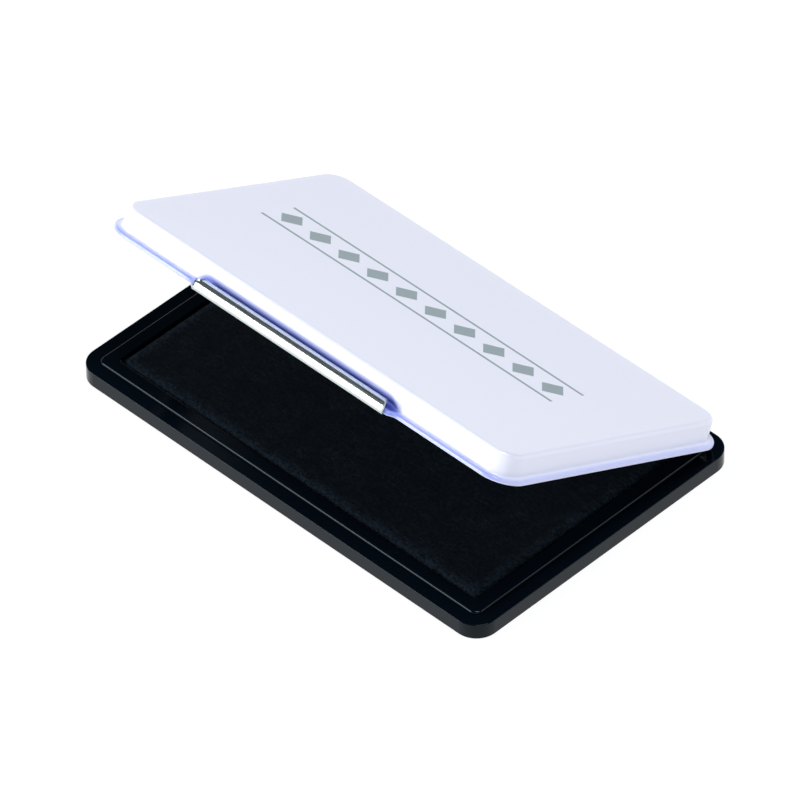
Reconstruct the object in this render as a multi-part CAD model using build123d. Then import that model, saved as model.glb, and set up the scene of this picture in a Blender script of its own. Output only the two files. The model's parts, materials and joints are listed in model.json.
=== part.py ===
from build123d import *
import os

# Stamp pad with a hinged tinplate lid.
# Origin: centre of the underside, on the surface it stands on.  +X runs along the hinge to the right,
# -Y is the opening side, +Y the hinge side, +Z is up.  All sizes are in millimetres.

# ---- driving dimensions -------------------------------------------------------------------------
# base tray
tray_length = 120.0
tray_width = 78.6
tray_height = 3.9
tray_corner = 5.3
tray_top_round = 0.15
tray_foot_chamfer = 0.15
floor_underside = 0.5
floor_top = 1.4
foot_ring_width = 3.2
rib_width = 1.0
rib_low = 0.1
rib_ys = (-12.0, 12.0)
rib_xs = (-30.0, 0.0, 30.0)
pocket_fit = 0.2

# retaining frame round the pad
frame_length = 113.2
frame_width = 72.1
frame_corner = 2.1
frame_top = 4.55
frame_seat = 2.9
frame_underside = 3.5
frame_foot_width = 1.3
frame_fit = 0.1
window_length = 106.6
window_width = 65.7
window_corner = 1.2
frame_edge_round = 0.45
window_edge_round = 0.2
peg_radius = 0.45
peg_length = 1.1
peg_fit = 0.02
peg_sink = 0.1
peg_xs = (-42.0, -14.0, 14.0, 42.0)
peg_ys = (-18.0, 18.0)

# pad
pad_length = 110.0
pad_width = 69.4
pad_corner = 2.0
film_thickness = 0.15
felt_thickness = 1.6
cloth_thickness = 0.3
cloth_length = 105.8
cloth_width = 64.9
cloth_corner = 1.4
cloth_top = 4.5
cloth_edge_round = 0.9
layer_gap = 0.05
hem_inset = 0.2

# lid, in its own shut position
sheet = 0.35
lid_length = 118.8
lid_front_y = -38.75
lid_back_y = 36.96
lid_front_to_back = lid_back_y - lid_front_y
lid_middle_y = (lid_front_y + lid_back_y) / 2
lid_corner = 6.8
lid_rim_z = 4.15
lid_height = 6.06
rim_height = 1.0
rim_round = 0.55
flange_width = 1.6
wall_draft = 0.25
top_round = 1.0

# thumb recess pressed into the front wall, and the widened lip under it
grip_centre_x = -2.2
recess_half_length = 29.8
recess_radius = 2.6
recess_depth = 1.1
recess_centre = 2.4
lip_bulge = 1.4
lip_half_length = 28.2
lip_blend = 2.4
hem_low = 0.2
hem_height = 2.05
hem_depth = 1.75
hem_half_length = 24.0
hem_round = 0.8
lip_cut_behind = 0.45

# bright grip strip crimped over the lip
strip_length = 56.4
strip_end_slant = 1.45
strip_sheet = 0.3
strip_fit = 0.04
strip_top_round = 1.2
strip_low_round = 0.3
strip_arm_past_hem = 0.35

# hinge
hinge_y = 38.26
hinge_z = 4.30
pin_radius = 0.5
knuckle_bore = 0.53
knuckle_radius = 0.85
knuckle_length = 12.0
knuckle_side_gap = 0.2
knuckle_x = 34.0
lug_length = 2.4
lug_radius = 0.9
lug_foot = 0.6
lug_bore_fit = 0.01
notch_front = 1.0
tab_overlap = 1.2
pin_chamfer = 0.1
notch_floor = 3.2
shown_opening = 26.5

# ---- helpers ------------------------------------------------------------------------------------


def slab(length, width, corner, low, high, centre_y=0.0):
    """Flat plate with rounded plan corners between two heights."""
    plan = RectangleRounded(length, width, corner)
    return Pos(0, centre_y, low) * extrude(plan, high - low)


def top_edges(part, height):
    """Edges that lie flat at one height."""
    return part.edges().filter_by(lambda e: abs(e.bounding_box().min.Z - height) < 1e-4
                                  and abs(e.bounding_box().max.Z - height) < 1e-4)


def x_cylinder(radius, x_low, x_high, y, z):
    """Round bar along X."""
    bar = Rot(0, 90, 0) * Cylinder(radius, x_high - x_low)
    return Pos((x_low + x_high) / 2, y, z) * bar


def box_between(x_low, x_high, y_low, y_high, z_low, z_high):
    """Plain block given by its limits."""
    block = Box(x_high - x_low, y_high - y_low, z_high - z_low)
    return Pos((x_low + x_high) / 2, (y_low + y_high) / 2, (z_low + z_high) / 2) * block


def open_lid(part):
    """Swing a lid piece from shut to the opening it is shown at."""
    return part.rotate(Axis((0, hinge_y, hinge_z), (1, 0, 0)), -shown_opening)


def save(part, name):
    part.label = name
    export_step(part, os.path.join("parts", name + ".step"))


# ---- base ---------------------------------------------------------------------------------------


def peg_places():
    """Pegs stand in the middle of the frame's foot, four along each long side, two on each short."""
    along = frame_length / 2 - frame_foot_width / 2
    across = frame_width / 2 - frame_foot_width / 2
    places = [(x, side * across) for x in peg_xs for side in (-1, 1)]
    places += [(side * along, y) for y in peg_ys for side in (-1, 1)]
    return places


def base_tray():
    body = slab(tray_length, tray_width, tray_corner, 0, tray_height)
    body = fillet(top_edges(body, tray_height), tray_top_round)
    body = chamfer(top_edges(body, 0), tray_foot_chamfer)
    seat = slab(frame_length + 2 * frame_fit, frame_width + 2 * frame_fit, frame_corner + frame_fit,
                frame_seat, tray_height + 1)
    pocket = slab(pad_length + 2 * pocket_fit, pad_width + 2 * pocket_fit, pad_corner + pocket_fit,
                  floor_top, tray_height + 1)
    hollow = slab(tray_length - 2 * foot_ring_width, tray_width - 2 * foot_ring_width,
                  tray_corner - foot_ring_width, -1, floor_underside)
    body = body - seat - pocket - hollow
    rib_end = tray_length / 2 - foot_ring_width + 0.3
    rib_side = tray_width / 2 - foot_ring_width + 0.3
    rib_high = floor_underside + 0.2
    rib_half = rib_width / 2
    for y in rib_ys:
        body += box_between(-rib_end, rib_end, y - rib_half, y + rib_half, rib_low, rib_high)
    for x in rib_xs:
        body += box_between(x - rib_half, x + rib_half, -rib_side, rib_side, rib_low, rib_high)
    for x, y in peg_places():
        body -= Pos(x, y, frame_seat - peg_length / 2) * Cylinder(peg_radius + peg_fit, peg_length + 0.2)
    for side in (-1, 1):
        middle = side * knuckle_x
        half = knuckle_length / 2 + knuckle_side_gap
        body -= box_between(middle - half, middle + half, hinge_y - notch_front, tray_width / 2 + 1,
                            notch_floor, tray_height + 1)
        for end in (-1, 1):
            near = middle + end * half
            far = near + end * lug_length
            low, high = min(near, far), max(near, far)
            lug = x_cylinder(lug_radius, low, high, hinge_y, hinge_z)
            lug += box_between(low, high, hinge_y - lug_radius, hinge_y + lug_radius,
                               tray_height - lug_foot, hinge_z)
            body += lug
        body -= x_cylinder(pin_radius + lug_bore_fit, middle - half - lug_length - 1,
                           middle + half + lug_length + 1, hinge_y, hinge_z)
    return body


def hinge_pins():
    pins = []
    for side in (-1, 1):
        half = knuckle_length / 2 + knuckle_side_gap + lug_length
        pin = x_cylinder(pin_radius, side * knuckle_x - half, side * knuckle_x + half, hinge_y, hinge_z)
        pins.append(chamfer(pin.edges().filter_by(GeomType.CIRCLE), pin_chamfer))
    return Compound(children=pins)


def pad_frame():
    ring = slab(frame_length, frame_width, frame_corner, frame_seat, frame_top)
    ring = fillet(top_edges(ring, frame_top), frame_edge_round)
    ring -= slab(window_length, window_width, window_corner, frame_seat - 1, frame_top + 1)
    near_x = window_length / 2 + 0.05
    near_y = window_width / 2 + 0.05
    inner = [e for e in top_edges(ring, frame_top)
             if abs(e.center().X) < near_x and abs(e.center().Y) < near_y]
    ring = fillet(inner, window_edge_round)
    ring -= slab(frame_length - 2 * frame_foot_width, frame_width - 2 * frame_foot_width, 0.5,
                 frame_seat - 1, frame_underside)
    for x, y in peg_places():
        ring += Pos(x, y, frame_seat - peg_length / 2 + peg_sink) * Cylinder(peg_radius, peg_length)
    return ring


# ---- pad ----------------------------------------------------------------------------------------


def pad_backing_film():
    return slab(pad_length, pad_width, pad_corner, floor_top, floor_top + film_thickness)


def felt_core():
    low = floor_top + film_thickness
    return slab(pad_length, pad_width, pad_corner, low, low + felt_thickness)


def transfer_felt():
    low = floor_top + film_thickness + felt_thickness
    inset = 2 * (cloth_thickness + layer_gap)
    high = cloth_top - cloth_thickness - layer_gap
    felt = slab(cloth_length - inset, cloth_width - inset, cloth_corner, low, high)
    return fillet(top_edges(felt, high), cloth_edge_round - cloth_thickness)


def pad_cloth():
    low = floor_top + film_thickness + felt_thickness
    hem = slab(pad_length - 2 * hem_inset, pad_width - 2 * hem_inset, pad_corner - hem_inset,
               low, low + cloth_thickness)
    rise = slab(cloth_length, cloth_width, cloth_corner, low, cloth_top)
    rise = fillet(top_edges(rise, cloth_top), cloth_edge_round)
    inset = 2 * cloth_thickness
    lining = cloth_top - cloth_thickness
    under = slab(cloth_length - inset, cloth_width - inset, cloth_corner, low - 1, lining)
    under = fillet(top_edges(under, lining), cloth_edge_round - cloth_thickness)
    return hem + rise - under


# ---- lid ----------------------------------------------------------------------------------------


def lid_plan(inset):
    """Rounded plan of the lid, drawn in by a distance, about its own middle."""
    return RectangleRounded(lid_length - 2 * inset, lid_front_to_back - 2 * inset, lid_corner - inset)


def recess_tool(grow):
    """Round-ended scoop along the front wall: a bar with a ball at each end."""
    radius = recess_radius + grow
    wall_y = lid_front_y + flange_width
    y = wall_y - (recess_radius - recess_depth)
    z = lid_rim_z + recess_centre
    end = recess_half_length - recess_radius
    scoop = x_cylinder(radius, -end, end, y, z)
    for side in (-1, 1):
        scoop += Pos(side * end, y, z) * Sphere(radius)
    keep = box_between(-lid_length, lid_length, y - 10, y + 10, lid_rim_z + rim_height - grow,
                       lid_rim_z + lid_height - 0.6)
    return Pos(grip_centre_x, 0, 0) * (scoop & keep)


def lid_form(inset, recess_grow):
    """Solid form of the lid, drawn in by a distance: drafted box, top edge round and recess."""
    low = lid_plan(flange_width + inset)
    high = lid_plan(flange_width + wall_draft + inset)
    top = lid_rim_z + lid_height - inset
    box = loft([Pos(0, lid_middle_y, lid_rim_z) * low, Pos(0, lid_middle_y, top) * high])
    box = fillet(top_edges(box, top), top_round - inset)
    return box - recess_tool(recess_grow)


def flange_form(inset, low, high):
    """Solid form of the flange with the widened lip in front, drawn in by a distance."""
    plan = Pos(0, lid_middle_y) * lid_plan(inset)
    lip_y = lid_front_y - lip_bulge + inset
    inner = lip_half_length - inset
    outer = inner + lip_blend
    lip = Polygon((-inner, lip_y), (inner, lip_y), (outer, lid_front_y + inset), (outer, lid_front_y + 3),
                  (-outer, lid_front_y + 3), (-outer, lid_front_y + inset), align=None)
    return Pos(0, 0, low) * extrude(plan + Pos(grip_centre_x, 0) * lip, high - low)


def hinge_tab(x):
    """Tab of the flange rolled round the pin."""
    low = x - knuckle_length / 2
    high = x + knuckle_length / 2
    top = lid_rim_z + rim_height
    roll = x_cylinder(knuckle_radius, low, high, hinge_y, hinge_z)
    roll += box_between(low, high, lid_back_y - tab_overlap, hinge_y, top - sheet, top)
    return roll - x_cylinder(knuckle_bore, low - 1, high + 1, hinge_y, hinge_z)


def lid_shell():
    rim_top = lid_rim_z + rim_height
    flange = flange_form(0, lid_rim_z, rim_top)
    flange = fillet(top_edges(flange, rim_top), rim_round)
    outside = flange + lid_form(0, 0)
    inside = flange_form(sheet, lid_rim_z - 1, rim_top - sheet) + lid_form(sheet, sheet)
    shell = outside - inside
    along = Pos(grip_centre_x, 0, 0)
    shell -= along * box_between(-strip_length / 2, strip_length / 2, lid_front_y - 3,
                                 lid_front_y + lip_cut_behind, lid_rim_z - 1, lid_rim_z + hem_low)
    hem_front = lid_front_y - lip_bulge
    hem = box_between(-hem_half_length, hem_half_length, hem_front, hem_front + hem_depth,
                      lid_rim_z + hem_low, lid_rim_z + hem_height)
    hem = fillet([e for e in hem.edges().filter_by(Axis.X) if e.center().Z > lid_rim_z + 1], hem_round)
    shell += along * hem
    for side in (-1, 1):
        shell += hinge_tab(side * knuckle_x)
    return open_lid(shell)


def grip_strip():
    """Channel of bright sheet round the hem of the lip, its ends cut on a slant."""
    front = lid_front_y - lip_bulge - strip_fit - strip_sheet
    back = lid_front_y - lip_bulge + hem_depth + strip_arm_past_hem
    low = lid_rim_z + hem_low - strip_fit - strip_sheet
    high = lid_rim_z + hem_height + strip_fit + strip_sheet
    outer = box_between(-strip_length / 2, strip_length / 2, front, back, low, high)
    long_edges = [e for e in outer.edges().filter_by(Axis.X) if e.center().Y < front + 0.1]
    outer = fillet([e for e in long_edges if e.center().Z > low + 0.1], strip_top_round)
    long_edges = [e for e in outer.edges().filter_by(Axis.X) if e.center().Y < front + 0.1]
    outer = fillet([e for e in long_edges if e.center().Z < low + 0.1], strip_low_round)
    inner = box_between(-strip_length, strip_length, front + strip_sheet, back + 1,
                        low + strip_sheet, high - strip_sheet)
    inner_edges = [e for e in inner.edges().filter_by(Axis.X)
                   if e.center().Y < front + strip_sheet + 0.1 and e.center().Z > low + strip_sheet + 0.1]
    inner = fillet(inner_edges, hem_round - 0.05)
    strip = outer - inner
    for side in (-1, 1):
        slant = -side * strip_end_slant
        wedge = Polygon((0, front), (slant, back), (slant, back + 1), (side * 5, back + 1),
                        (side * 5, front - 1), (0, front - 1), align=None)
        strip -= Pos(side * strip_length / 2, 0, low - 1) * extrude(wedge, 6)
    return open_lid(Pos(grip_centre_x, 0, 0) * strip)


# ---- write every piece --------------------------------------------------------------------------

os.makedirs("parts", exist_ok=True)
pieces = {
    "base_tray": base_tray,
    "hinge_pins": hinge_pins,
    "pad_frame": pad_frame,
    "pad_backing_film": pad_backing_film,
    "felt_core": felt_core,
    "transfer_felt": transfer_felt,
    "pad_cloth": pad_cloth,
    "lid_shell": lid_shell,
    "grip_strip": grip_strip,
}
for name, make in pieces.items():
    save(make(), name)
    print("wrote", name)
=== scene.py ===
import json
import math
import bpy
import numpy as np
from mathutils import Matrix, Vector


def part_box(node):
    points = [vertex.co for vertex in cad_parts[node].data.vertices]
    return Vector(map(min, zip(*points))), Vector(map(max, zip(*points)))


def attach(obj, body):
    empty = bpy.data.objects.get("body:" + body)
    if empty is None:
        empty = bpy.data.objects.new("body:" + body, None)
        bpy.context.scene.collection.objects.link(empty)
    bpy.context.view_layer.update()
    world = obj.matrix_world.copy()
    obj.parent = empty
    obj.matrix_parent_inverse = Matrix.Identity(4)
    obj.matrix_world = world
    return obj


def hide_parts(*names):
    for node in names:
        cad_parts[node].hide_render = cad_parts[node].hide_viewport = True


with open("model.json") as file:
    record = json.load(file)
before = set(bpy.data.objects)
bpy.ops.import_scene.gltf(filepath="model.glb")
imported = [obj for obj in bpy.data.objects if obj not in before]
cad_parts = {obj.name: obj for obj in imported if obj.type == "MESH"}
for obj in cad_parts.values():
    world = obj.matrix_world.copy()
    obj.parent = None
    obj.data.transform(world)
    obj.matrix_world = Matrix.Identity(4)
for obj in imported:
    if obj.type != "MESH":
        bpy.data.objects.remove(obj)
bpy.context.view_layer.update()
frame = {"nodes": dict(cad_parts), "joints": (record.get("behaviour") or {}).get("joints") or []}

print("stage: frame loaded")

mm = 0.001


def nodeBox(node):
    # low and high corner of a node's box, in millimetres
    return [np.array(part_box(node)[k]) / mm for k in (0, 1)]


hinge = frame["joints"][0]
hingeAt = np.array(hinge["pos_m"], float) / mm            # everything below is worked out in millimetres
shownOpening = math.radians(-hinge["range_deg"][0])       # the lid is modelled shut, then swung to this
lidLow, lidHigh = nodeBox("lid_shell")
frameHigh = nodeBox("pad_frame")[1]


def smooth(x, low, high):
    # s-curve from 0 at low to 1 at high: 3t^2 - 2t^3
    t = np.clip((x - low) / (high - low), 0, 1)
    return t * t * (3 - 2 * t)


def arc(cx, cy, radius, start, end, count):
    # circle arc as (x, y) rows, angles in degrees
    a = np.radians(np.linspace(start, end, count))
    return np.stack([cx + radius * np.cos(a), cy + radius * np.sin(a)], 1)


def roundedOutline(halfX, halfY, radius, centreY=0.0, straight=60, corner=14):
    # closed outline of a rounded rectangle, anticlockwise from the front left, with its outward normals:
    # four straights of equal steps joined by quarter circles
    points, normals = [], []
    centres = [(halfX - radius, -halfY + radius, -90), (halfX - radius, halfY - radius, 0),
               (-halfX + radius, halfY - radius, 90), (-halfX + radius, -halfY + radius, 180)]
    previous = (-halfX + radius, -halfY)
    for cx, cy, start in centres:
        a = np.radians(np.linspace(start, start + 90, corner))
        ring = np.stack([np.cos(a), np.sin(a)], 1)
        bend = np.array([cx, cy]) + radius * ring
        steps = np.linspace(0, 1, straight, endpoint=False)[1:, None]
        side = np.array(previous) * (1 - steps) + bend[0] * steps
        points += [side, bend]
        normals += [np.repeat(ring[:1], len(side), 0), ring]
        previous = bend[-1]
    outline = np.concatenate(points)
    outline[:, 1] += centreY
    return outline, np.concatenate(normals)


def ringGrid(outline, normals, inset, height):
    # grid of rings: the outline moved inward by inset[i], at height[i]
    xy = outline[None] - normals[None] * np.asarray(inset)[:, None, None]
    z = np.broadcast_to(np.asarray(height)[:, None, None], xy.shape[:2] + (1,))
    return np.concatenate([xy, z], 2)


def ringsToMiddle(ring, shares, middle):
    # rings shrunk towards the middle: middle + (ring - middle) * share
    return middle + (ring[None] - middle) * np.asarray(shares)[:, None, None]


def addMesh(name, parts, uv=None):
    # one mesh from several (points, faces) parts, uv is one (n, 2) array for all points
    points = np.concatenate([p for p, f in parts])
    faces, base = [], 0
    for p, f in parts:
        faces += [[i + base for i in face] for face in f]
        base += len(p)
    mesh = bpy.data.meshes.new(name)
    mesh.from_pydata((points * mm).tolist(), [], faces)
    mesh.polygons.foreach_set("use_smooth", np.ones(len(faces), bool))
    if uv is not None:
        layer = mesh.uv_layers.new(name="plan")
        corner = np.empty(len(mesh.loops), np.int32)
        mesh.loops.foreach_get("vertex_index", corner)
        layer.data.foreach_set("uv", uv[corner].astype(np.float32).ravel())
    mesh.update()
    piece = bpy.data.objects.new(name, mesh)
    bpy.context.scene.collection.objects.link(piece)
    return piece


def loopGrid(grid, capped=False, closeRows=False):
    # quads of a grid whose columns close on themselves; each end is capped by a fan to its ring's middle,
    # or the last row joins the first
    rows, cols = grid.shape[:2]
    index = np.arange(rows * cols).reshape(rows, cols)
    if closeRows:
        index = np.concatenate([index, index[:1]])
    a, b = index[:-1], index[1:]
    faces = np.stack([a, np.roll(a, -1, 1), np.roll(b, -1, 1), b], 2).reshape(-1, 4).tolist()
    points = grid.reshape(-1, 3)
    for row, turned in ((0, True), (rows - 1, False)) if capped else ():
        hub = len(points)
        points = np.concatenate([points, grid[row].mean(0)[None]])
        loop = index[row].tolist()
        faces += [[j, i, hub] if turned else [i, j, hub] for i, j in zip(loop, loop[1:] + loop[:1])]
    return points, faces


def flipped(points, faces):
    # the same part with every face turned round
    return points, [face[::-1] for face in faces]


def barGrid(section, stations, shift=None):
    # closed section (y, z) carried along X; shift(section, x) gives the x of each of its points at a station
    rows = []
    for x in stations:
        along = np.full(len(section), x) if shift is None else shift(section, x)
        rows.append(np.stack([along, section[:, 0], section[:, 1]], 1))
    return np.stack(rows)


def swing(points, angle=shownOpening):
    # turn about the hinge line: y and z rotate so that the front edge rises
    c, s = math.cos(angle), math.sin(angle)
    out = points.copy()
    y, z = points[..., 1] - hingeAt[1], points[..., 2] - hingeAt[2]
    out[..., 1] = hingeAt[1] + c * y + s * z
    out[..., 2] = hingeAt[2] - s * y + c * z
    return out


def offsetProfile(profile, distance):
    # the profile moved sideways by a distance along its own normal (left of its direction)
    d = np.gradient(profile, axis=0)
    d /= np.linalg.norm(d, axis=1)[:, None]
    return profile + distance * np.stack([-d[:, 1], d[:, 0]], 1)


lid = {
    "frontY": -38.75, "backY": 36.96, "rimZ": 4.15, "height": 6.06, "corner": 6.8, "sheet": 0.35,
    "rimHeight": 1.0, "rimRound": 0.55, "flange": 1.6, "draft": 0.25, "topRound": 1.0, "footRound": 0.42,
    "skirtLow": 0.12, "turnDrop": 0.45, "frontBlend": (0.6, 0.98),
    "crown": 0.12, "plateRings": 16, "plateShares": (0.96, 0.04), "planUnit": 100,
    "gripX": -2.2, "recessHalf": 29.8, "recessRadius": 3.4, "recessFlat": 0.5, "recessDepth": 1.1,
    "recessCentre": 0.4, "bulge": 1.4, "bulgeFoot": 0.6, "lipHalf": 28.3, "lipBlend": 2.2,
    "raisedBlend": (27.6, 28.6), "raisedHeight": 0.9,
    "hemHalf": 24.0, "hemLow": 0.2, "hemHeight": 2.05, "hemDepth": 1.75, "hemRound": 0.8, "hemCut": 0.05,
    "knuckleBore": 0.53, "knuckleRadius": 0.85, "knuckleHalf": 6.0, "knuckleX": 34.0,
    "curlEnd": -150, "curlPoints": 26, "tabLength": 1.1, "tabLift": 0.01,
}

# painted shade: the enamel goes blue where shade falls in the thumb recess and along the flange; each pair
# is where an s-curve starts and ends, in height, inset or length along X
shadeTint = {
    "footStep": (0.95, 1.3), "footDrop": 0.42, "wallFade": (1.3, 4.9), "rimFade": (0.35, 1.05),
    "endFade": (28.4, 31.4), "endSlope": 1.1, "endFrom": 0.2, "gripBefore": 1.0, "gripAfter": 5,
    "flangeRise": (0.05, 0.35), "flangeFade": (0.25, 1.8), "flangeTop": 2,
    "allRound": 0.22, "front": 0.22, "grip": 0.12, "knuckles": 0.12,
}


def lidProfile():
    # section of the sheet's upper face from the top plate out to the rim, as (inset, height):
    # top edge arc, drafted wall, hollow foot arc, flange, rim arc, rim
    g = lid
    wallTop = g["flange"] + g["draft"]
    top = arc(wallTop + g["topRound"], g["height"] - g["topRound"], g["topRound"], 90, 177, 12)
    foot = arc(g["flange"] - g["footRound"], g["rimHeight"] + g["footRound"], g["footRound"], -3, -90, 8)
    wall = np.linspace(top[-1], foot[0], 26)[1:-1]
    rim = arc(g["rimRound"], g["rimHeight"] - g["rimRound"], g["rimRound"], 90, 180, 8)
    flange = np.linspace(foot[-1], rim[0], 8)[1:-1]
    skirt = np.linspace(rim[-1], (0, g["skirtLow"]), 4)[1:]
    return np.concatenate([top, wall, foot, flange, rim, skirt])


def recessReach(x, n):
    # distance from the middle line of the thumb recess, a bar with round ends
    along = np.maximum(np.abs(x - lid["gripX"]) - (lid["recessHalf"] - lid["recessRadius"]), 0)
    return np.hypot(along, n - lid["recessCentre"])


def lidShadeTint(aside, n, inset, onFront):
    # strength of the painted shade, the larger of two. Low in the recess it falls by footDrop over the foot
    # and fades up the wall and past both ends. On the flange it is a share all round, more on the front and
    # near the grip, and fades with the inset
    g, h = shadeTint, lid
    along = aside + g["endSlope"] * np.maximum(n - h["rimHeight"] - g["endFrom"], 0)
    recess = (1 - g["footDrop"] * smooth(n, *g["footStep"])) * (1 - smooth(n, *g["wallFade"]))
    recess *= (1 - smooth(along, *g["endFade"])) * onFront * smooth(inset, *g["rimFade"])
    nearGrip = 1 - smooth(aside, h["recessHalf"] - g["gripBefore"], h["recessHalf"] + g["gripAfter"])
    flange = smooth(n, *g["flangeRise"]) * (1 - smooth(inset, *g["flangeFade"])) * (n < g["flangeTop"])
    flange *= g["allRound"] + (g["front"] + g["grip"] * nearGrip) * onFront
    return np.maximum(recess, flange)


def lidRings(outline, normals, profile):
    # rings of the sheet: the outline moved inward by the profile's inset. On the front the wall goes in by
    # the recess, an s-curve of the reach, the flange follows it from nothing at the rim, and the lip bulges
    # out
    g = lid
    rings = ringGrid(outline, normals, profile[:, 0], profile[:, 1])
    inset = np.broadcast_to(profile[:, :1], rings.shape[:2])
    x, n = rings[..., 0], rings[..., 2].copy()
    onFront = smooth(-normals[None, :, 1], *g["frontBlend"])
    aside = np.abs(x - g["gripX"])
    share = np.clip((inset - g["rimRound"]) / (g["flange"] - g["rimRound"]), 0, 1)
    reach = recessReach(x, np.maximum(n, g["rimHeight"]))
    push = g["recessDepth"] * (1 - smooth(reach, g["recessFlat"], g["recessRadius"])) * share * onFront
    bulge = g["bulge"] * (1 - smooth(aside, g["lipHalf"], g["lipHalf"] + g["lipBlend"])) * onFront
    out = bulge * (1 - smooth(inset, g["rimRound"], g["flange"] + g["bulgeFoot"]))
    rings[..., 1] += push - out
    # the rim stops short above the strip's lower arm
    raised = g["hemLow"] * (1 - smooth(aside, *g["raisedBlend"])) * onFront
    rings[..., 2] += raised * np.clip(1 - n / g["raisedHeight"], 0, 1) * (inset < g["flange"])
    rings[..., 2] += g["rimZ"]
    return rings, lidShadeTint(aside, n, inset, onFront)


def plateRings(edge, middleY):
    # rings that fill the top plate: its edge shrunk towards the middle, crowned by 1 - share squared
    g = lid
    shares = np.linspace(*g["plateShares"], g["plateRings"])
    rings = ringsToMiddle(edge, shares, np.array([0.0, middleY, 0.0]))
    rings[..., 2] = edge[0, 2] + g["crown"] * (1 - shares ** 2)[:, None]
    return rings


def lidSheet():
    # the drawn sheet, upper face out to the rim and lower face back in, with each point's painted shade and
    # bareness
    g = lid
    middleY = (g["frontY"] + g["backY"]) / 2
    halfX, halfY = (lidHigh[0] - lidLow[0]) / 2, (g["backY"] - g["frontY"]) / 2
    outline, normals = roundedOutline(halfX, halfY, g["corner"], middleY, straight=170, corner=18)
    upper = lidProfile()
    lower = offsetProfile(upper, g["sheet"])
    turn = (upper[-1] + lower[-1]) / 2 + [0, -g["sheet"] * g["turnDrop"]]
    rings, ringShadeTint = lidRings(outline, normals, np.concatenate([upper, turn[None], lower[::-1]]))
    grid = np.concatenate([plateRings(rings[0], middleY)[::-1], rings, plateRings(rings[-1], middleY)])
    count = g["plateRings"]
    # painted shade on the sheet's rings, none on the plates
    blue, bare = np.zeros(grid.shape[:2]), np.zeros(grid.shape[:2])
    blue[count:-count] = ringShadeTint
    bare[count + len(upper):] = 1
    return flipped(*loopGrid(grid, capped=True)), blue, bare


def hemPart():
    # rolled hem inside the strip: a bar along X whose upper front edge is an arc
    g = lid
    h, low, high = g["hemRound"], g["rimZ"] + g["hemLow"], g["rimZ"] + g["hemHeight"]
    front = g["frontY"] - g["bulge"]
    back = front + g["hemDepth"]
    section = np.concatenate([[[back, low], [front + g["hemCut"], low]],
                              arc(front + h, high - h, h, 180, 90, 6), [[back, high]]])
    stations = g["gripX"] + np.linspace(-g["hemHalf"], g["hemHalf"], 3)
    return flipped(*loopGrid(barGrid(section, stations), capped=True))


def knucklePart(side):
    # rolled knuckle: a tab that runs flat off the flange and curls round the pin, carried along X; its bore
    # and its tab are bare
    g = lid
    hy, hz = hingeAt[1], hingeAt[2]
    over = arc(hy, hz, g["knuckleRadius"], 90, g["curlEnd"], g["curlPoints"])
    under = arc(hy, hz, g["knuckleBore"], g["curlEnd"], 90, g["curlPoints"])
    tabEnd = g["backY"] - g["tabLength"]
    tab = [[tabEnd, hz + g["knuckleBore"] + g["tabLift"]], [tabEnd, hz + g["knuckleRadius"]]]
    curl = np.concatenate([over, under, tab])
    stations = side * g["knuckleX"] + np.linspace(-g["knuckleHalf"], g["knuckleHalf"], 2)
    points, faces = loopGrid(barGrid(curl, stations))
    count = len(curl)
    faces += [list(range(count)), list(range(2 * count - 1, count - 1, -1))]
    return flipped(points, faces), np.tile(np.arange(count) >= len(over), 2)


def makeLid():
    # sheet, hem and both knuckles in one mesh, swung open. The first attribute is the strength of the painted
    # shade and bare is 1 on bare tin; both run in the order of the points, which is the sheet, the hubs of
    # its two caps, then the other parts
    sheet, blue, bare = lidSheet()
    hem = hemPart()
    knuckles = [knucklePart(side) for side in (-1, 1)]
    parts = [sheet, hem] + [part for part, curlBare in knuckles]
    plan = np.concatenate([points[:, :2] for points, faces in parts]) / lid["planUnit"]
    piece = addMesh("lidPressing", [(swing(points), faces) for points, faces in parts], uv=plan)
    others = sum(len(points) for points, faces in parts[1:])
    curlsBare = [curlBare for part, curlBare in knuckles]
    # painted shade: per point on the sheet, none at the cap hubs, a faint share on the hem and knuckles
    fields = {"paintedShade": [blue.ravel(), (0, 0), np.full(others, shadeTint["knuckles"])],
              "bare": [bare.ravel(), (0, 1), np.ones(len(hem[0])), *curlsBare]}
    for label, rows in fields.items():
        values = np.concatenate(rows).astype(np.float32)
        piece.data.attributes.new(label, "FLOAT", "POINT").data.foreach_set("value", values)
    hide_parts("lid_shell")
    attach(piece, "lid")
    return piece


strip = {"armPastHem": 0.39, "length": 56.4, "slant": 1.45, "sheet": 0.3, "fit": 0.04,
         "topRound": 1.2, "lowRound": 0.3, "bow": 0.12, "bowReach": 0.02, "stations": 60}


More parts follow.
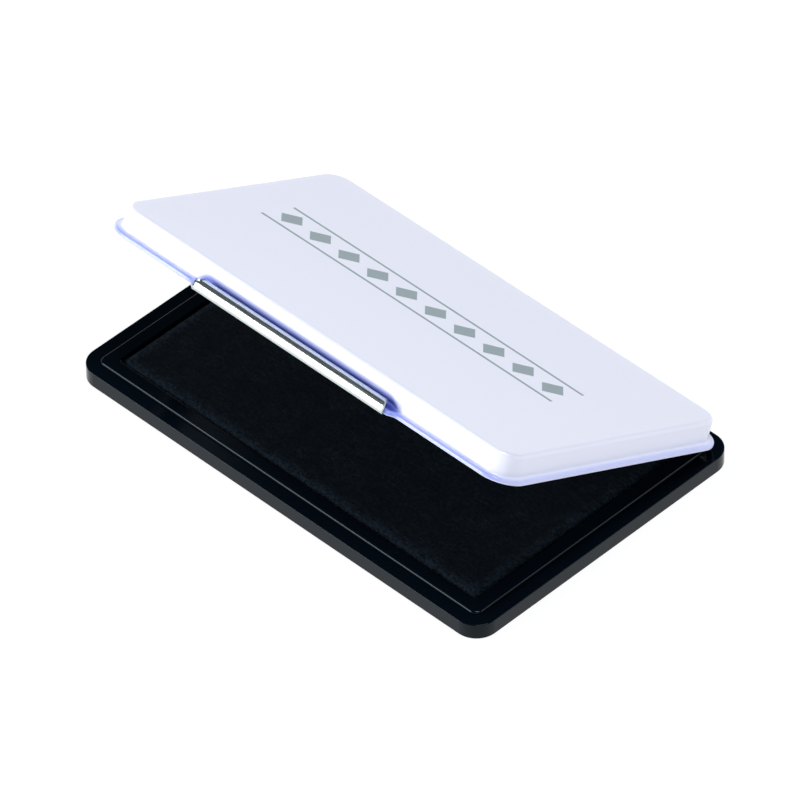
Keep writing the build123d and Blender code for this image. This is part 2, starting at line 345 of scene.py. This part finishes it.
def makeStrip():
    # channel section: lower arm, bowed front face, rounded shoulder and top arm, then the same drawn in by
    # the sheet; the front bows by 4t(1 - t) of the bow
    g, h = strip, lid
    edge = h["frontY"] - h["bulge"] - g["fit"]
    front, back = edge - g["sheet"], edge + h["hemDepth"] + g["armPastHem"]
    low = h["rimZ"] + h["hemLow"] - g["fit"] - g["sheet"]
    high = h["rimZ"] + h["hemHeight"] + g["fit"] + g["sheet"]
    a, b = g["lowRound"], g["topRound"]
    outer = np.concatenate([
        np.linspace((back, low), (front + a, low), 4)[:-1], arc(front + a, low + a, a, 270, 180, 7),
        np.linspace((front, low + a), (front, high - b), 9)[1:-1],
        arc(front + b, high - b, b, 180, 90, 14), np.linspace((front + b, high), (back, high), 6)[1:]])
    t = np.clip((outer[:, 1] - low - a) / (high - b - low - a), 0, 1)
    outer[:, 0] -= g["bow"] * 4 * t * (1 - t) * (outer[:, 0] < front + g["bowReach"])
    inner = offsetProfile(outer, -g["sheet"])
    section = np.concatenate([outer, inner[::-1]])
    depth = (section[:, 0] - front) / (back - front)

    def slanted(s, x):
        # the ends slant in by the depth's share of the slant
        return np.full(len(s), x) * (1 - 2 * g["slant"] * np.clip(depth, 0, 1) / g["length"])

    grid = barGrid(section, np.linspace(-g["length"] / 2, g["length"] / 2, g["stations"]), slanted)
    grid[..., 0] += h["gripX"]
    points, faces = loopGrid(grid)
    count, last = len(section), len(points) - len(section)
    for base, turned in ((0, False), (last, True)):
        for i in range(len(outer) - 1):
            quad = [base + i, base + i + 1, base + count - 2 - i, base + count - 1 - i]
            faces.append(quad[::-1] if turned else quad)
    piece = addMesh("gripStrip", [flipped(swing(points), faces)])
    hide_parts("grip_strip")
    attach(piece, "lid")
    return piece


moulding = {"seatZ": 2.9, "underZ": 3.5, "footWidth": 1.3, "footLine": 0.4, "edgeRound": 0.45,
            "lipRound": 0.22, "holdLine": 0.3, "corner": 1.7, "windowCorner": 1.2, "windowX": 106.6,
            "windowY": 65.7}


def makeFrame():
    # section carried round between the outer outline and the window: outer * (1 - u) + inner * u
    g = moulding
    outer = roundedOutline(frameHigh[0], frameHigh[1], g["corner"], straight=70, corner=12)[0]
    inner = roundedOutline(g["windowX"] / 2, g["windowY"] / 2, g["windowCorner"], straight=70, corner=12)[0]
    width, top = frameHigh[0] - g["windowX"] / 2, frameHigh[2]
    e, w, hold = g["edgeRound"], g["lipRound"], g["holdLine"]
    section = np.concatenate([
        [[0, g["seatZ"]], [0, g["seatZ"] + g["footLine"]]], arc(e, top - e, e, 180, 90, 9),
        np.linspace((e + hold, top), (width - w - hold, top), 4), arc(width - w, top - w, w, 90, 0, 6),
        [[width, g["underZ"] + hold], [width, g["underZ"]], [g["footWidth"], g["underZ"]],
         [g["footWidth"], g["seatZ"]]]])
    u = (section[:, 0] / width)[:, None, None]
    xy = outer[None] * (1 - u) + inner[None] * u
    z = np.broadcast_to(section[:, 1][:, None, None], xy.shape[:2] + (1,))
    piece = addMesh("frameMoulding", [loopGrid(np.concatenate([xy, z], 2), closeRows=True)])
    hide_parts("pad_frame")
    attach(piece, "base")
    return piece


pad = {"clothX": 105.8, "clothY": 64.9, "corner": 1.8, "topZ": 4.5, "thickness": 0.25, "crown": 0.12,
       "edgeRound": 0.95, "edgeReach": 2.4, "edgeStart": 0.12, "edgePower": 2.6, "drop": (-0.06, 0.16),
       "tuckZ": 3.42, "tuckX": 54.75, "tuckY": 34.4, "lumps": 0.035, "lumpBlend": (0.3, 4.0), "lumpSink": 1.5,
       "swells": (14, 17, 3), "ripples": (16, 6, 4), "rippleShare": 0.5,
       "bandStarts": (-3, -0.6, 0.2), "bandLines": (90, 18, 14, 5)}


def waves(x, y, count, size, seed):
    # sum of plane waves of random direction and phase, each about one size long
    r = np.random.default_rng(seed)
    total = np.zeros_like(x)
    for k in range(count):
        a, phase, length = r.uniform(0, math.tau), r.uniform(0, math.tau), size * r.uniform(0.6, 1.6)
        total += np.sin((x * math.cos(a) + y * math.sin(a)) * math.tau / length + phase)
    return total / math.sqrt(count)


def insideDistance(x, y, halfX, halfY, corner):
    # how far a point lies inside a rounded rectangle, negative outside
    qx, qy = np.abs(x) - halfX + corner, np.abs(y) - halfY + corner
    outside = np.hypot(np.maximum(qx, 0), np.maximum(qy, 0))
    return corner - outside - np.minimum(np.maximum(qx, qy), 0)


def gridLines(inner, outer):
    # coordinates from -outer to outer: coarse in the middle, fine over the shoulder, coarse again in the tuck
    ends = [0] + [inner + start for start in pad["bandStarts"]] + [outer]
    bands = [np.linspace(low, high, count)[:-1] for low, high, count in zip(ends, ends[1:], pad["bandLines"])]
    side = np.concatenate(bands + [[outer]])
    return np.concatenate([-side[:0:-1], side])


def heightField(x, y, z):
    # quads of a height field, facing up
    rows, cols = x.shape
    index = np.arange(rows * cols).reshape(rows, cols)
    quads = np.stack([index[:-1, :-1], index[:-1, 1:], index[1:, 1:], index[1:, :-1]], 2).reshape(-1, 4)
    return np.stack([x, y, z], 2).reshape(-1, 3), quads.tolist()


def makeCloth():
    # cover pulled over the felt: slight crown and lumps, a shoulder that falls by edgeRound times
    # 1 - sqrt(1 - t ^ edgePower), a steep drop, then flat out under the frame
    g = pad
    halfX, halfY = g["clothX"] / 2, g["clothY"] / 2
    x, y = np.meshgrid(gridLines(halfX, g["tuckX"]), gridLines(halfY, g["tuckY"]))
    d = insideDistance(x, y, halfX, halfY, g["corner"])
    t = np.clip(1 - (d - g["edgeStart"]) / g["edgeReach"], 0, 1)
    shoulder = g["topZ"] - g["edgeRound"] * (1 - np.sqrt(np.maximum(1 - t ** g["edgePower"], 0)))
    crown = g["crown"] * (1 - (x / halfX) ** 2) * (1 - (y / halfY) ** 2)
    swells, ripples = waves(x, y, *g["swells"]), waves(x, y, *g["ripples"])
    lumps = g["lumps"] * (swells + g["rippleShare"] * ripples - g["lumpSink"])
    top = shoulder + (crown + lumps) * smooth(d, *g["lumpBlend"])
    z = g["tuckZ"] + (top - g["tuckZ"]) * smooth(d, *g["drop"])
    piece = addMesh("clothCover", [heightField(x, y, z)])
    thick = piece.modifiers.new("thickness", "SOLIDIFY")
    thick.thickness = g["thickness"] * mm
    thick.offset = -1
    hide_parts("pad_cloth")
    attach(piece, "base")
    return piece


felt = {"lowRound": 0.15, "rings": 30, "shares": (0.97, 0.03), "unevenness": 0.02, "waves": (10, 9)}


def makeFelt(name, node, corner, edgeRound, seed):
    # felt slab filling its node's box: rounded plan, rounded edges, flat underside and slightly uneven top
    g, e, c = felt, edgeRound, felt["lowRound"]
    low, high = nodeBox(node)
    outline, normals = roundedOutline(high[0], high[1], corner, straight=90, corner=8)
    profile = np.concatenate([arc(e, high[2] - e, e, 90, 180, 6), arc(c, low[2] + c, c, 180, 270, 4)])
    rings = ringGrid(outline, normals, profile[:, 0], profile[:, 1])
    shares = np.linspace(*g["shares"], g["rings"])
    top = ringsToMiddle(rings[0], shares, np.zeros(3))
    dips = (1 + waves(top[..., 0], top[..., 1], *g["waves"], seed)).clip(0, 2)
    top[..., 2] = high[2] - g["unevenness"] * dips
    under = ringsToMiddle(rings[-1], shares, np.zeros(3))
    under[..., 2] = low[2]
    piece = addMesh(name, [flipped(*loopGrid(np.concatenate([top[::-1], rings, under]), capped=True))])
    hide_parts(node)
    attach(piece, "base")
    return piece


def newGroup(name, inputs, outputs):
    # node group of plain numbers: inputs by name with their start values, outputs by name
    group = bpy.data.node_groups.new(name, "ShaderNodeTree")
    for label, value in inputs.items():
        socket = group.interface.new_socket(label, in_out="INPUT", socket_type="NodeSocketFloat")
        socket.default_value = value
    for label in outputs:
        group.interface.new_socket(label, in_out="OUTPUT", socket_type="NodeSocketFloat")
    return group, group.nodes.new("NodeGroupInput"), group.nodes.new("NodeGroupOutput")


def addNode(tree, kind, settings=None, **values):
    # one node; settings are its own properties, values its input sockets by name
    node = tree.nodes.new(kind)
    for key, value in (settings or {}).items():
        setattr(node, key, value)
    for key, value in values.items():
        node.inputs[key.replace("_", " ")].default_value = value
    return node


def objectPlace(tree):
    # Object coordinates
    return tree.nodes.new("ShaderNodeTexCoord").outputs["Object"]


def mapped(tree, vector, **values):
    # the vector moved, turned and scaled
    node = addNode(tree, "ShaderNodeMapping", **values)
    tree.links.new(vector, node.inputs["Vector"])
    return node.outputs["Vector"]


def noiseAt(tree, vector, scale=None, **values):
    # noise read at a vector; scale is a socket where it comes from a group's input
    node = addNode(tree, "ShaderNodeTexNoise", **values)
    tree.links.new(vector, node.inputs["Vector"])
    if scale is not None:
        tree.links.new(scale, node.inputs["Scale"])
    return node.outputs["Fac"]


def mathNode(tree, operation, a, b=None, clamp=False):
    # a and b joined by the operation; each is a number or a socket
    node = tree.nodes.new("ShaderNodeMath")
    node.operation = operation
    node.use_clamp = clamp
    for k, value in enumerate((a, b)):
        if value is None:
            continue
        if isinstance(value, (int, float)):
            node.inputs[k].default_value = value
        else:
            tree.links.new(value, node.inputs[k])
    return node.outputs[0]


def newMaterial(name, **values):
    # material with a Principled shader, values are its sockets by name
    material = bpy.data.materials.new(name)
    material.use_nodes = True
    tree = material.node_tree
    shader = tree.nodes["Principled BSDF"]
    for key, value in values.items():
        shader.inputs[key.replace("_", " ")].default_value = value
    return material, tree, shader


def mapRange(tree, value, fromLow, fromHigh, toLow=0.0, toHigh=1.0):
    # straight line through (fromLow, toLow) and (fromHigh, toHigh), held level past its ends
    node = addNode(tree, "ShaderNodeMapRange", From_Min=fromLow, From_Max=fromHigh, To_Min=toLow,
                   To_Max=toHigh)
    tree.links.new(value, node.inputs["Value"])
    return node.outputs["Result"]


def mixColour(tree, factor, a, b):
    # a * (1 - factor) + b * factor; each is a colour or a socket
    node = tree.nodes.new("ShaderNodeMix")
    node.data_type = "RGBA"
    tree.links.new(factor, node.inputs["Factor"])
    for k, value in ((6, a), (7, b)):
        if isinstance(value, tuple):
            node.inputs[k].default_value = value
        else:
            tree.links.new(value, node.inputs[k])
    return node.outputs[2]


def colourRamp(tree, factor, stops):
    # colour by the factor, in straight lines between (position, colour) stops
    ramp = tree.nodes.new("ShaderNodeValToRGB")
    elements = ramp.color_ramp.elements
    while len(elements) < len(stops):
        elements.new(0.5)
    for element, (position, colour) in zip(elements, stops):
        element.position = position
        element.color = colour
    tree.links.new(factor, ramp.inputs["Fac"])
    return ramp.outputs["Color"]


def addBump(tree, shader, height, strength, distance):
    # shader normal tilted by the slope of a height
    bump = addNode(tree, "ShaderNodeBump", Strength=strength, Distance=distance)
    tree.links.new(height, bump.inputs["Height"])
    tree.links.new(bump.outputs["Normal"], shader.inputs["Normal"])


marks = {"smearScale": 60.0, "smearRange": (0.2, 0.85), "smearShare": 0.75, "scratchScale": 900.0,
         "scratchStretch": 9.0, "scratchTurn": 0.5, "scratchRange": (0.6, 0.8), "scratchShare": 0.25,
         "dustScale": 700.0, "dustRange": (0.09, 0.05), "peelScale": 420.0}


def handlingGroup():
    # light handling marks. Roughness = low + (smears * share + scratches * share) * (high - low);
    # dust is 1 near a cell's middle, and peel is a fine noise
    g = marks
    group, inside, outside = newGroup("handling", {"Scale": 1.0, "Low": 0.1, "High": 0.3},
                                      ("Roughness", "Dust", "Peel"))
    coords = objectPlace(group)
    scale = mathNode(group, "MULTIPLY", inside.outputs["Scale"], g["smearScale"])
    smear = noiseAt(group, coords, scale, Detail=4.0, Roughness=0.6)
    stretched = mapped(group, coords, Scale=(1.0, g["scratchStretch"], 1.0),
                       Rotation=(0, 0, g["scratchTurn"]))
    scratch = noiseAt(group, stretched, Scale=g["scratchScale"], Detail=2.0)
    fine = mathNode(group, "MULTIPLY", mapRange(group, scratch, *g["scratchRange"]), g["scratchShare"])
    soft = mathNode(group, "MULTIPLY", mapRange(group, smear, *g["smearRange"]), g["smearShare"])
    blend = mathNode(group, "ADD", soft, fine)
    spread = mathNode(group, "SUBTRACT", inside.outputs["High"], inside.outputs["Low"])
    above = mathNode(group, "MULTIPLY", blend, spread)
    rough = mathNode(group, "ADD", above, inside.outputs["Low"], clamp=True)
    group.links.new(rough, outside.inputs["Roughness"])
    specks = addNode(group, "ShaderNodeTexVoronoi", Scale=g["dustScale"])
    group.links.new(coords, specks.inputs["Vector"])
    group.links.new(mapRange(group, specks.outputs["Distance"], *g["dustRange"]), outside.inputs["Dust"])
    group.links.new(noiseAt(group, coords, Scale=g["peelScale"], Detail=2.0), outside.inputs["Peel"])
    return group


nap = {"turns": (0.4, 2.1, 1.2), "shifts": (0.0, 3.0, 7.0), "stretch": 4.5, "scale": 520.0,
       "mottleScale": 160.0, "fleckScale": 1700.0}


def fibreGroup():
    # short tangled fibres: the highest of three stretched noises, each turned its own way, with a slow mottle
    # and a fine fleck
    g = nap
    group, inside, outside = newGroup("fibres", {"Scale": 1.0}, ("Height", "Mottle", "Fleck"))
    coords = objectPlace(group)
    heights = []
    for turn, shift in zip(g["turns"], g["shifts"]):
        place = mapped(group, coords, Rotation=(0, 0, turn), Scale=(1.0, g["stretch"], 1.0),
                       Location=(shift, 0, 0))
        scale = mathNode(group, "MULTIPLY", inside.outputs["Scale"], g["scale"])
        heights.append(noiseAt(group, place, scale, Detail=3.0, Roughness=0.65))
    tangle = mathNode(group, "MAXIMUM", mathNode(group, "MAXIMUM", heights[0], heights[1]), heights[2])
    group.links.new(tangle, outside.inputs["Height"])
    mottle = noiseAt(group, coords, Scale=g["mottleScale"], Detail=5.0, Roughness=0.7)
    group.links.new(mottle, outside.inputs["Mottle"])
    fleck = noiseAt(group, coords, Scale=g["fleckScale"], Detail=2.0, Roughness=0.75)
    group.links.new(fleck, outside.inputs["Fleck"])
    return group


def useGroup(tree, group, **values):
    # a group placed in a material with its own values
    node = tree.nodes.new("ShaderNodeGroup")
    node.node_tree = group
    for key, value in values.items():
        node.inputs[key].default_value = value
    return node


gloss = {"black": (0.0010, 0.0028, 0.0055, 1), "dust": (0.05, 0.055, 0.065, 1), "dustShare": 0.12}


def blackGloss(name, handling, low, high):
    # glossy black moulding: faint dust over one colour, handling marks in the gloss, and the slight peel
    g = gloss
    material, tree, shader = newMaterial(name, IOR=1.27, Specular_Tint=(0.7, 0.88, 1.0, 1))
    worn = useGroup(tree, handling, Scale=1.0, Low=low, High=high)
    dusty = mathNode(tree, "MULTIPLY", worn.outputs["Dust"], g["dustShare"])
    tree.links.new(mixColour(tree, dusty, g["black"], g["dust"]), shader.inputs["Base Color"])
    tree.links.new(worn.outputs["Roughness"], shader.inputs["Roughness"])
    addBump(tree, shader, worn.outputs["Peel"], 0.03, 0.00001)
    return material


# in units of the lid's plan UV
ornament = {"centreX": -0.026, "centreY": 0.018, "halfLength": 0.43, "pitch": 0.086, "halfWide": 0.031,
            "halfHigh": 0.036, "ruleAt": 0.054, "ruleHalf": 0.004, "soft": 0.0012, "lozengeSoft": 0.02}


def printMask(tree):
    # printed ornament on the lid: a row of lozenges, where |x| / halfWide + |y| / halfHigh is under 1,
    # between two thin rules
    g = ornament
    plan = addNode(tree, "ShaderNodeUVMap", {"uv_map": "plan"})
    split = tree.nodes.new("ShaderNodeSeparateXYZ")
    tree.links.new(plan.outputs["UV"], split.inputs["Vector"])
    x = mathNode(tree, "SUBTRACT", split.outputs["X"], g["centreX"])
    y = mathNode(tree, "ABSOLUTE", mathNode(tree, "SUBTRACT", split.outputs["Y"], g["centreY"]))
    cell = mathNode(tree, "SUBTRACT", mathNode(tree, "FRACT", mathNode(tree, "DIVIDE", x, g["pitch"])), 0.5)
    across = mathNode(tree, "MULTIPLY", mathNode(tree, "ABSOLUTE", cell), g["pitch"] / g["halfWide"])
    size = mathNode(tree, "ADD", across, mathNode(tree, "DIVIDE", y, g["halfHigh"]))
    lozenge = mapRange(tree, size, 1 + g["lozengeSoft"], 1 - g["lozengeSoft"])
    rule = mapRange(tree, mathNode(tree, "ABSOLUTE", mathNode(tree, "SUBTRACT", y, g["ruleAt"])),
                    g["ruleHalf"] + g["soft"] / 2, g["ruleHalf"] - g["soft"] / 2)
    inside = mapRange(tree, mathNode(tree, "ABSOLUTE", x), g["halfLength"] + g["soft"] / 2,
                      g["halfLength"] - g["soft"] / 2)
    return mathNode(tree, "MULTIPLY", mathNode(tree, "MAXIMUM", lozenge, rule), inside, clamp=True)


# the enamel's colour stops: white at 0, the rest painted shade going to deep blue at 1
enamel = {
    "shadeStops": [(0.0, (0.80, 0.815, 0.945, 1)), (0.25, (0.52, 0.57, 0.90, 1)), (0.6, (0.19, 0.25, 0.78, 1)),
              (1.0, (0.035, 0.05, 0.36, 1))],
    "dust": (0.45, 0.45, 0.5, 1), "dustShare": 0.05, "print": (0.16, 0.25, 0.28, 1), "coat": 0.5,
    "tinDark": (0.20, 0.21, 0.22, 1), "tinLight": (0.34, 0.35, 0.36, 1),
}


def whiteEnamel(handling):
    # stoved white enamel that goes blue where the first attribute paints shade, with the printed ornament;
    # bare dull tin where the attribute bare is 1
    g = enamel
    material, tree, shader = newMaterial("whiteEnamel", IOR=1.5, Coat_Roughness=0.08)
    worn = useGroup(tree, handling, Scale=0.5, Low=0.3, High=0.36)
    paintedShade = addNode(tree, "ShaderNodeAttribute", {"attribute_name": "paintedShade"}).outputs["Fac"]
    bare = addNode(tree, "ShaderNodeAttribute", {"attribute_name": "bare"}).outputs["Fac"]
    # painted shade: white going to deep blue by the shade attribute
    shadeTinted = colourRamp(tree, paintedShade, g["shadeStops"])
    specks = mathNode(tree, "MULTIPLY", worn.outputs["Dust"], g["dustShare"])
    printed = mixColour(tree, printMask(tree), mixColour(tree, specks, shadeTinted, g["dust"]), g["print"])
    tin = mixColour(tree, worn.outputs["Peel"], g["tinDark"], g["tinLight"])
    tree.links.new(mixColour(tree, bare, printed, tin), shader.inputs["Base Color"])
    tree.links.new(bare, shader.inputs["Metallic"])
    coat = mathNode(tree, "MULTIPLY", mathNode(tree, "SUBTRACT", 1.0, bare), g["coat"])
    tree.links.new(coat, shader.inputs["Coat Weight"])
    tree.links.new(worn.outputs["Roughness"], shader.inputs["Roughness"])
    addBump(tree, shader, worn.outputs["Peel"], 0.04, 0.00002)
    return material


def brightPlate():
    # plated sheet drawn along its length: fine lines in the roughness and a very slight ripple
    material, tree, shader = newMaterial("brightPlate", Metallic=1.0, Base_Color=(0.60, 0.66, 0.66, 1))
    drawn = mapped(tree, objectPlace(tree), Scale=(0.02, 1.0, 1.0))
    lines = noiseAt(tree, drawn, Scale=5000.0, Detail=3.0)
    tree.links.new(mapRange(tree, lines, 0.3, 0.7, 0.22, 0.32), shader.inputs["Roughness"])
    addBump(tree, shader, lines, 0.03, 0.00001)
    return material


# tips, fleck and cloudy are each mapRange's four ends; the painted sheen band is in metres, as Object
# coordinates are
brushed = {"tips": (0.5, 0.78, 0.0, 0.55), "fleck": (0.42, 0.68, 0.0, 1.0), "cloudy": (0.3, 0.72, 0.3, 1.0),
           "fleckShare": 0.6, "paintedSheenBand": 0.0035, "paintedSheenBlend": 0.0028, "paintedSheenGain": 1.2,
           "sheenColour": (0.5, 0.7, 1.0, 1)}


def brushedCloth(name, fibres, dark, light, scale, sheen):
    # napped cloth wet with ink: the dark body goes to light by (fibre tips + flecks) * drifts, and the drifts
    # gain in a band along all four edges, a painted sheen where the nap catches light, from Object
    # coordinates
    g = brushed
    material, tree, shader = newMaterial(name, Roughness=0.85, Sheen_Weight=sheen, Sheen_Roughness=0.35,
                                         Sheen_Tint=g["sheenColour"], Specular_IOR_Level=0.12,
                                         Specular_Tint=(0.6, 0.78, 1.0, 1))
    fibre = useGroup(tree, fibres, Scale=scale)
    tips = mapRange(tree, fibre.outputs["Height"], *g["tips"])
    fleck = mapRange(tree, fibre.outputs["Fleck"], *g["fleck"])
    cloudy = mapRange(tree, fibre.outputs["Mottle"], *g["cloudy"])
    split = tree.nodes.new("ShaderNodeSeparateXYZ")
    tree.links.new(objectPlace(tree), split.inputs["Vector"])
    # painted sheen: the cloth lighter in a band along all four edges
    reach = []
    for axis, half in (("X", pad["clothX"] / 2), ("Y", pad["clothY"] / 2)):
        out = mathNode(tree, "ABSOLUTE", split.outputs[axis])
        reach.append(mathNode(tree, "SUBTRACT", out, half * mm - g["paintedSheenBand"]))
    paintedSheen = mapRange(tree, mathNode(tree, "MAXIMUM", *reach), 0.0, g["paintedSheenBlend"])
    cloudy = mathNode(tree, "ADD", cloudy, mathNode(tree, "MULTIPLY", paintedSheen, g["paintedSheenGain"]))
    both = mathNode(tree, "ADD", tips, mathNode(tree, "MULTIPLY", fleck, g["fleckShare"]))
    colour = mixColour(tree, mathNode(tree, "MULTIPLY", both, cloudy), dark, light)
    tree.links.new(colour, shader.inputs["Base Color"])
    height = mathNode(tree, "ADD", fibre.outputs["Height"], fibre.outputs["Fleck"])
    addBump(tree, shader, height, 0.5, 0.0001)
    return material


def drawnSteel():
    # drawn wire: a fine noise in the colour and in the roughness
    material, tree, shader = newMaterial("drawnSteel", Metallic=1.0)
    grain = noiseAt(tree, objectPlace(tree), Scale=2500.0, Detail=3.0)
    tree.links.new(mapRange(tree, grain, 0.3, 0.7, 0.2, 0.4), shader.inputs["Roughness"])
    colour = mixColour(tree, grain, (0.42, 0.42, 0.43, 1), (0.6, 0.6, 0.61, 1))
    tree.links.new(colour, shader.inputs["Base Color"])
    return material


def milkyFilm():
    # opaque milky plastic with a cloudy colour
    material, tree, shader = newMaterial("milkyFilm", Roughness=0.35, Alpha=1.0)
    cloud = noiseAt(tree, objectPlace(tree), Scale=90.0, Detail=4.0)
    colour = mixColour(tree, cloud, (0.55, 0.57, 0.6, 1), (0.75, 0.77, 0.8, 1))
    tree.links.new(colour, shader.inputs["Base Color"])
    return material


def paint(piece, material):
    # gives a piece its one material
    piece.data.materials.clear()
    piece.data.materials.append(material)


def paintNode(name, material):
    # puts a material in every slot of a CAD node
    for entry in frame["nodes"][name].material_slots:
        entry.material = material


camera = {"azimuth": 45.03, "elevation": 42.82, "roll": -0.816, "distance": 1921.9, "right": -0.70,
          "up": 3.74, "lens": 404.84, "sensor": 36, "clip": (0.05, 50)}


def makeCamera():
    # camera at a distance in the direction of azimuth and elevation, slid right and up in its own plane, and
    # rolled about its axis
    g = camera
    a, e, r = (math.radians(g[k]) for k in ("azimuth", "elevation", "roll"))
    back = Vector((math.sin(a) * math.cos(e), -math.cos(a) * math.cos(e), math.sin(e)))
    right = Vector((math.cos(a), math.sin(a), 0))
    up = back.cross(right)
    place = back * g["distance"] + right * g["right"] + up * g["up"]
    tiltedRight = right * math.cos(r) + up * math.sin(r)
    tiltedUp = up * math.cos(r) - right * math.sin(r)
    data = bpy.data.cameras.new("camera")
    data.lens = g["lens"]
    data.sensor_width = g["sensor"]
    data.clip_start, data.clip_end = g["clip"]
    eye = bpy.data.objects.new("camera", data)
    turn = Matrix((tiltedRight, tiltedUp, back)).transposed().to_4x4()
    eye.matrix_world = Matrix.Translation(place * mm) @ turn
    bpy.context.scene.collection.objects.link(eye)
    bpy.context.scene.camera = eye


def addLamp(name, direction, distance, size, power, colour):
    # square soft box in a direction from the object, turned to face it
    data = bpy.data.lights.new(name, "AREA")
    data.shape = "SQUARE"
    data.size = size
    data.energy = power
    data.color = colour
    lamp = bpy.data.objects.new(name, data)
    d = Vector(direction).normalized()
    lamp.location = d * distance
    lamp.rotation_euler = d.to_track_quat("Z", "Y").to_euler()
    bpy.context.scene.collection.objects.link(lamp)


studio = {
    "floorColour": (0.12, 0.12, 0.12, 1), "floorGlow": 0.9, "floorHalf": 4.0, "floorZ": -0.00005,
    "lamps": [("frontLeft", (-0.6, -0.8, 0.42), 1.6, 0.9, 26, (1.0, 1.0, 1.0)),
              ("overhead", (0.1, 0.1, 1.0), 1.6, 0.5, 15, (0.96, 0.97, 1.0)),
              ("rightBack", (0.75, 0.5, 0.5), 1.8, 0.5, 3.5, (0.9, 0.95, 1.0))],
    "sky": [(0.0, (1.15, 1.17, 1.2, 1)), (0.2, (0.95, 0.98, 1.03, 1)), (0.4, (0.08, 0.11, 0.105, 1)),
            (0.6, (0.034, 0.043, 0.048, 1)), (0.8, (0.028, 0.035, 0.04, 1)), (1.0, (0.08, 0.09, 0.10, 1))],
}


def makeStudio():
    # glowing floor just under the object, soft boxes, and a sky whose colour goes by its direction's height
    g = studio
    mesh = bpy.data.meshes.new("floor")
    s, z = g["floorHalf"], g["floorZ"]
    mesh.from_pydata([(-s, -s, z), (s, -s, z), (s, s, z), (-s, s, z)], [], [(0, 1, 2, 3)])
    floor = bpy.data.objects.new("floor", mesh)
    bpy.context.scene.collection.objects.link(floor)
    pale = newMaterial("paleFloor", Base_Color=g["floorColour"], Roughness=0.9, Emission_Color=(1, 1, 1, 1),
                       Emission_Strength=g["floorGlow"])[0]
    mesh.materials.append(pale)
    for lamp in g["lamps"]:
        addLamp(*lamp)
    world = bpy.data.worlds.new("studio")
    bpy.context.scene.world = world
    world.use_nodes = True
    tree = world.node_tree
    background = tree.nodes["Background"]
    coords = tree.nodes.new("ShaderNodeTexCoord")
    split = tree.nodes.new("ShaderNodeSeparateXYZ")
    tree.links.new(coords.outputs["Generated"], split.inputs["Vector"])
    tree.links.new(colourRamp(tree, split.outputs["Z"], g["sky"]), background.inputs["Color"])
    bpy.context.scene.view_settings.view_transform = "Standard"


handling = handlingGroup()
fibres = fibreGroup()
lidPiece = makeLid()
stripPiece = makeStrip()
framePiece = makeFrame()
clothPiece = makeCloth()
corePiece = makeFelt("inkFelt", "felt_core", 2.0, 0.3, 11)
finePiece = makeFelt("fineFelt", "transfer_felt", 1.4, 0.5, 12)
print("stage: pieces made")

paint(lidPiece, whiteEnamel(handling))
paint(stripPiece, brightPlate())
paint(framePiece, blackGloss("frameBlack", handling, 0.08, 0.14))
paint(clothPiece, brushedCloth("inkedCloth", fibres, (0.0005, 0.0012, 0.0019, 1), (0.009, 0.016, 0.025, 1),
                               0.7, 0.02))
paintNode("base_tray", blackGloss("trayBlack", handling, 0.07, 0.13))
paintNode("hinge_pins", drawnSteel())
inkedFelt = brushedCloth("inkedFelt", fibres, (0.004, 0.004, 0.006, 1), (0.03, 0.03, 0.035, 1), 0.6, 0.1)
paint(corePiece, inkedFelt)
paint(finePiece, inkedFelt)
paintNode("pad_backing_film", milkyFilm())
print("stage: materials done")

makeCamera()
makeStudio()
print("stage: studio done")
